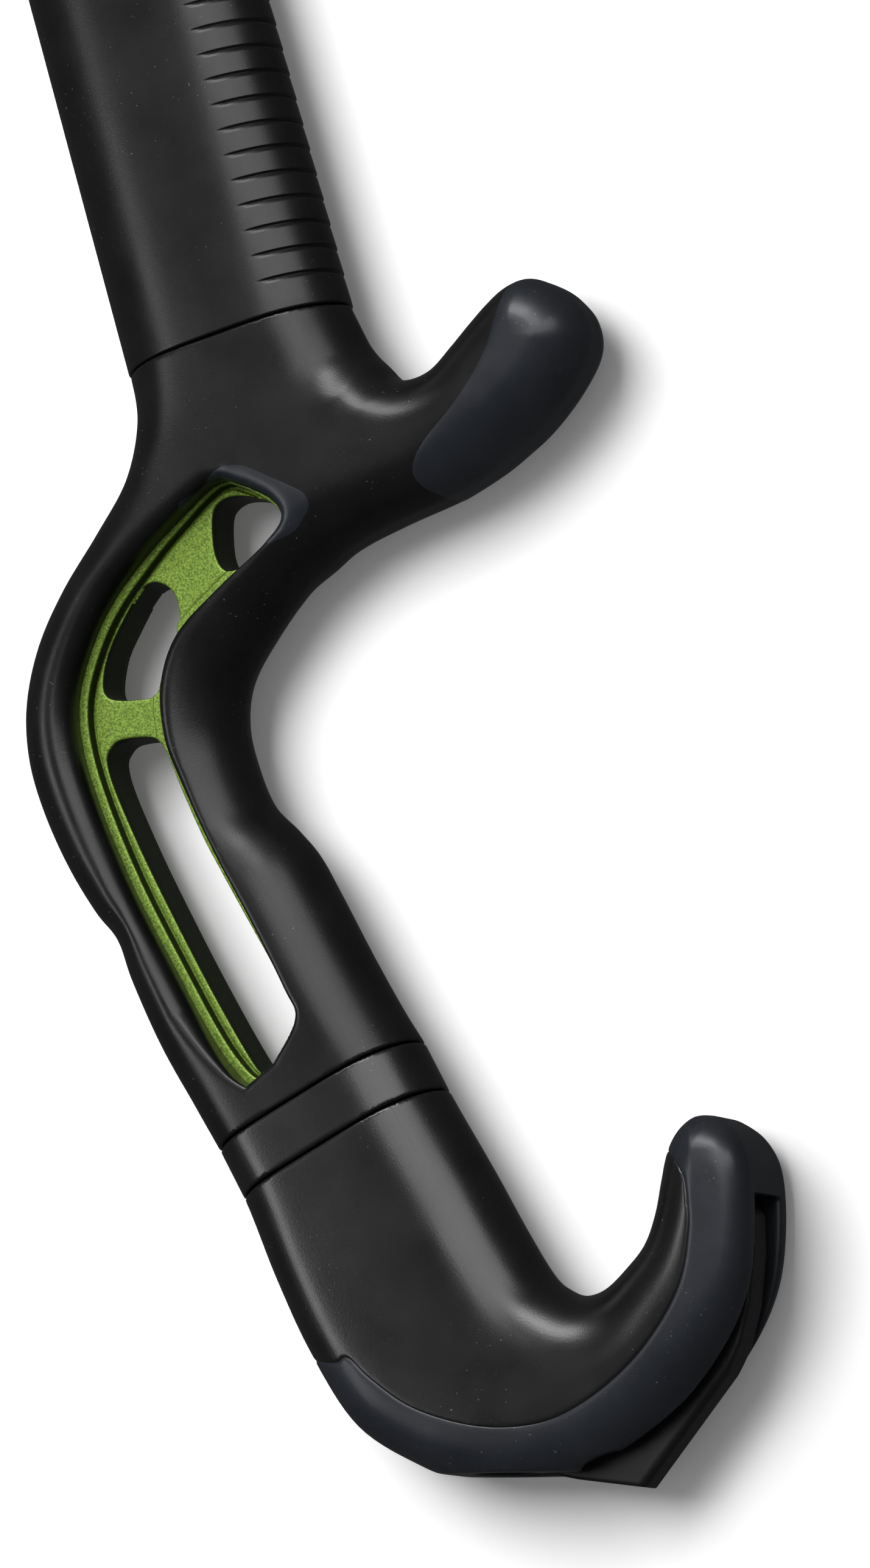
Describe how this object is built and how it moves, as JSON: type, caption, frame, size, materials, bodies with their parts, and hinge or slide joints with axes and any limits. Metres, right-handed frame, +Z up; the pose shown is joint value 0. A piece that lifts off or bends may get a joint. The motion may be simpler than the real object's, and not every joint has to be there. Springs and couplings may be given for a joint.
{
  "type": "ice climbing tool",
  "caption": "Ice climbing tool with a bent shaft, toothed pick, hammer, moulded handle on an open frame, finger rest and an adjustable hooked pommel with a spike.",
  "frame": {"origin": "middle of the tool's outline on the surface that it lies on", "axes": "+X towards the finger side, where the pick points, +Y from the spike to the head, +Z up out of the surface that the tool lies on"},
  "size_m": [0.1956, 0.517, 0.023],
  "materials": {
    "shaft_alloy": "black anodised, satin",
    "grip_rubber": "matte moulded rubber",
    "green_alloy": "bead-blasted, green anodised",
    "grey_plastic": "matte, bluish dark grey",
    "spike_steel": "black coated steel",
    "head_steel": "dark coated steel",
    "pick_steel": "ground steel",
    "fastener_steel": "plated steel",
    "insert_brass": "turned brass"
  },
  "bodies": {
    "handle": {"shaft": "shaft_alloy", "shaft_grip": "grip_rubber", "handle_frame": "green_alloy", "handle_grip": "grip_rubber", "grip_liner": "grey_plastic", "upper_rest_cap": "grey_plastic", "frame_rivets": "fastener_steel", "thread_insert": "insert_brass", "head": "head_steel", "head_rivets": "fastener_steel", "pick": "pick_steel", "pick_bolts": "fastener_steel", "pick_nuts": "fastener_steel", "hammer": "head_steel", "hammer_bolt": "fastener_steel", "hammer_nut": "fastener_steel"},
    "spacer": {"spacer": "grip_rubber"},
    "pommel": {"pommel_grip": "grip_rubber", "pommel_core": "grey_plastic", "spike": "spike_steel", "pommel_washer": "fastener_steel"},
    "pommel_bolt": {"pommel_bolt": "fastener_steel"}
  },
  "joints": [
    {"name": "spacer_slide", "type": "slide", "parent": "handle", "child": "spacer", "axis": [0.4772, -0.8788, 0], "range_m": [0, 0.0085]},
    {"name": "pommel_slide", "type": "slide", "parent": "spacer", "child": "pommel", "axis": [0.4772, -0.8788, 0], "range_m": [0, 0.0085]},
    {"name": "pommel_bolt_turn", "type": "hinge", "parent": "pommel", "child": "pommel_bolt", "pos_m": [-0.01115, -0.20533, 0.0115], "axis": [0.4772, -0.8788, 0], "continuous": true}
  ]
}
